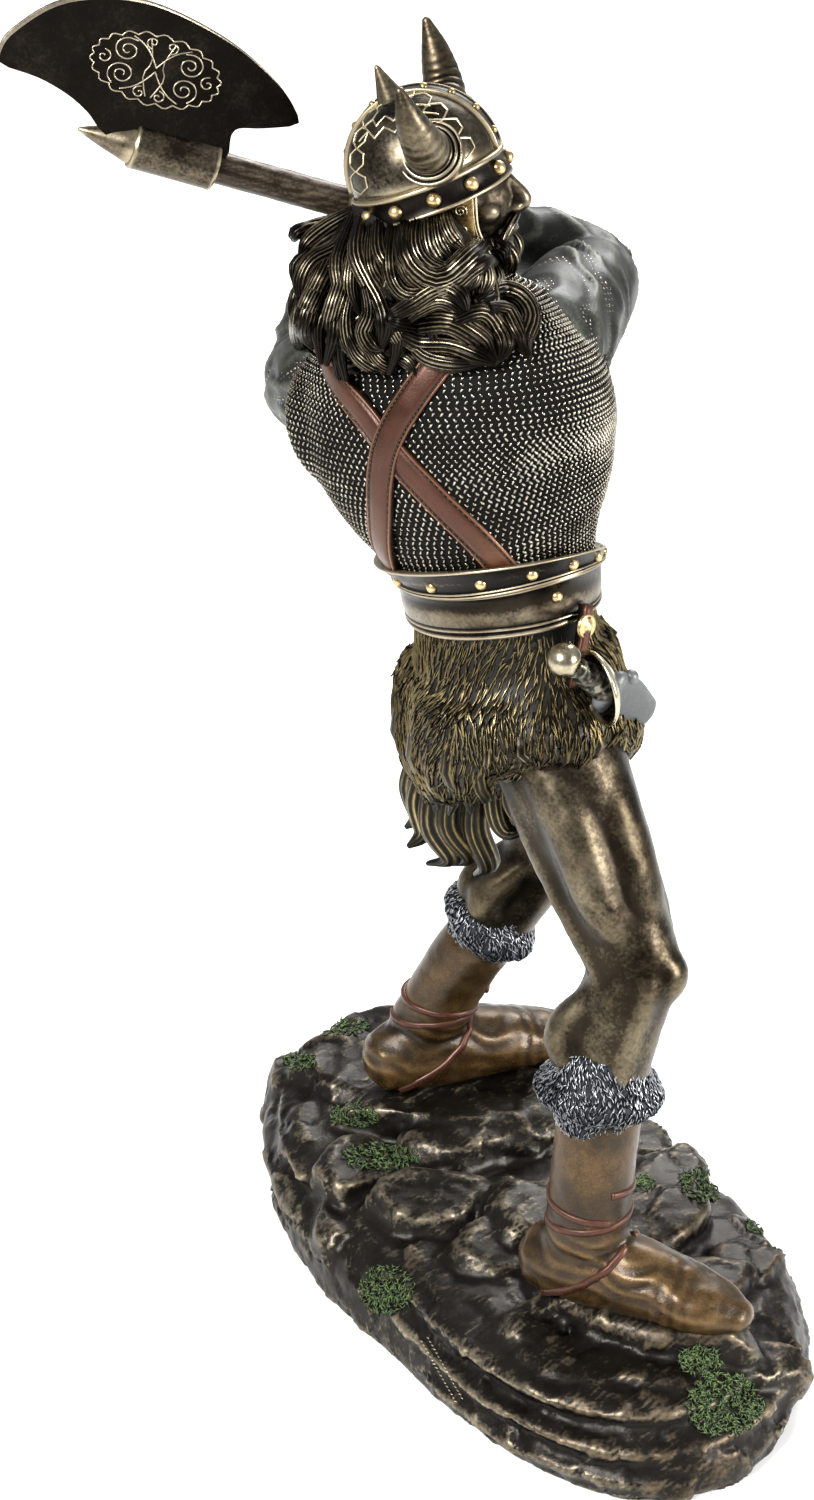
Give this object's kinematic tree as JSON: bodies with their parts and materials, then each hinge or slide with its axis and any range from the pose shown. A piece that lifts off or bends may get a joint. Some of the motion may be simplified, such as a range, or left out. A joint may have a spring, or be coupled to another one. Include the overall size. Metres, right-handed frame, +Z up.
{
  "type": "viking warrior statue",
  "caption": "Warrior figurine in horned helmet, mail and fur kilt, winding up an axe swing on a rock mound; it stands by its own weight.",
  "frame": {"origin": "on the rock's flat underside, plumb under the hips", "axes": "+Z up; +X the way both feet stride; +Y the way the chest is turned, to the figure's left"},
  "size_m": [0.1691, 0.1642, 0.2804],
  "materials": {
    "rock_base": "cold-cast resin carved as rock, dark with pale bronze worn edges and painted moss",
    "warrior": "bronze-coloured cold-cast resin with a dark antique wash and hand-painted fur and leather",
    "battle_axe": "dark bronze blade with bright rims, haft painted as wood"
  },
  "bodies": {
    "root": {"rock_base": "rock_base", "warrior": "warrior", "battle_axe": "battle_axe"}
  },
  "joints": []
}
